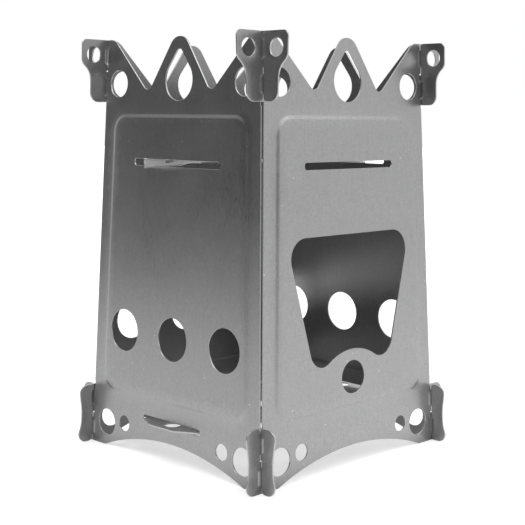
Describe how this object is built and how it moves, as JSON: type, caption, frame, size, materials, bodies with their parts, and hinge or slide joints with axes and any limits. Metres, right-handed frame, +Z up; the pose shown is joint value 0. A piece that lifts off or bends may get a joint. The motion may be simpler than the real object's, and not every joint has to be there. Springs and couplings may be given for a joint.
{
  "type": "twig stove",
  "caption": "Flat-pack twig stove: leaning sheet panels hooked at the corners, with a toothed crown, a feed opening, vents, a floor plate and a sliding shelf strip.",
  "frame": {"origin": "centre of the footprint at ground level", "axes": "+Z up; the panel with the feed opening faces -Y; the shelf strip slides along X"},
  "size_m": [0.0886, 0.0886, 0.127],
  "materials": {
    "sheet": null
  },
  "bodies": {
    "root": {"front_panel": "sheet", "left_panel": "sheet", "back_panel": "sheet", "right_panel": "sheet", "floor_plate": "sheet"},
    "shelf": {"shelf_strip": "sheet"}
  },
  "joints": [
    {"name": "shelf_slide", "type": "slide", "parent": "root", "child": "shelf", "axis": [1, 0, 0], "range_m": [-0.078, 0.078]}
  ]
}
